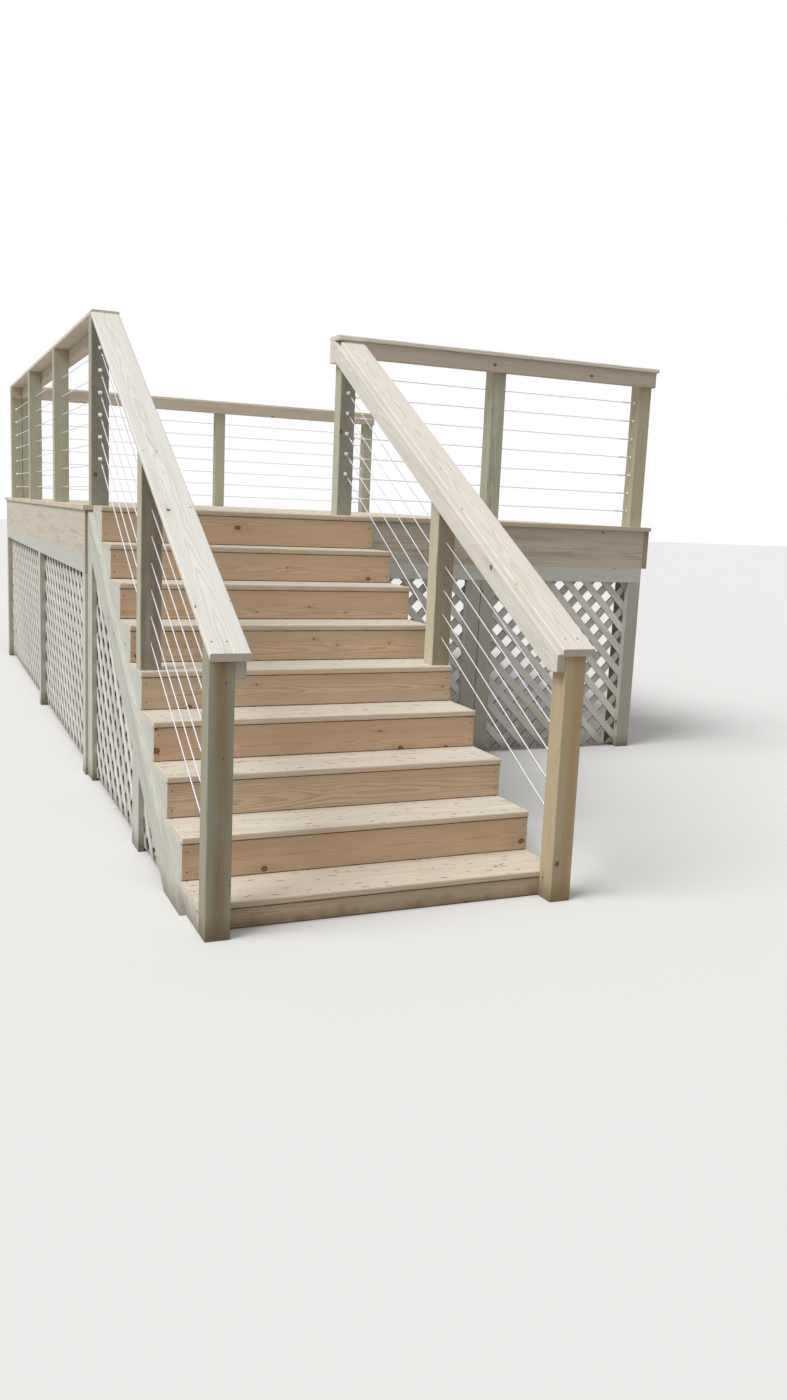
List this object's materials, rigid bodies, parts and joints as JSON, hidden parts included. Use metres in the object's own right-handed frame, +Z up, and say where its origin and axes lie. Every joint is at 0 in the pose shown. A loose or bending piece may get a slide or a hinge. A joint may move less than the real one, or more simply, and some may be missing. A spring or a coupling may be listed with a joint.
{
  "type": "wooden deck stairs",
  "caption": "Straight flight of timber deck stairs with cable rails, rising to the end of a raised deck with cable guards and diagonal lattice skirts.",
  "frame": {"origin": "on the ground, at the middle of the flight, on the front face of the lowest riser", "axes": "+X to the right across the flight, +Y up the flight and into the deck, +Z up"},
  "size_m": [3.4955, 7.202, 2.379],
  "materials": {
    "cable": "bright, laid strand",
    "pine_frame": "bare, sawn",
    "pine_lattice": "bare, sawn",
    "pine_pale": "bare, sawn",
    "pine_post": "bare, sawn",
    "pine_riser": "bare, sawn",
    "pine_tread": "bare, sawn"
  },
  "bodies": {
    "root": {"back_cables": "cable", "back_cap": "pine_pale", "back_guard_posts": "pine_post", "back_rail": "pine_pale", "back_rim": "pine_frame", "deck_boards": "pine_tread", "front_cables": "cable", "front_cap": "pine_pale", "front_guard_posts": "pine_post", "front_lattice": "pine_lattice", "front_rail": "pine_pale", "front_rim": "pine_frame", "front_skirt_rail": "pine_frame", "front_skirt_uprights": "pine_frame", "inner_stringers": "pine_frame", "joists": "pine_frame", "landing_posts": "pine_post", "landing_tread": "pine_tread", "mid_stair_posts": "pine_post", "newel_posts": "pine_post", "risers": "pine_riser", "side_cables": "cable", "side_cap": "pine_pale", "side_lattice_far": "pine_lattice", "side_lattice_near": "pine_lattice", "side_posts": "pine_post", "side_rail": "pine_pale", "side_rims": "pine_frame", "side_skirt_rail": "pine_frame", "side_skirt_uprights": "pine_frame", "stair_cables_left": "cable", "stair_cables_right": "cable", "stair_cap_left": "pine_pale", "stair_cap_right": "pine_pale", "stair_lattice_left": "pine_lattice", "stair_lattice_right": "pine_lattice", "stair_rail_left": "pine_pale", "stair_rail_right": "pine_pale", "stair_skirt_boards": "pine_frame", "stair_skirt_uprights": "pine_frame", "stringer_left": "pine_frame", "stringer_right": "pine_frame", "support_posts": "pine_post", "tread_1": "pine_tread", "tread_2": "pine_tread", "tread_3": "pine_tread", "tread_4": "pine_tread", "tread_5": "pine_tread", "tread_6": "pine_tread", "tread_7": "pine_tread", "tread_8": "pine_tread"}
  },
  "joints": []
}
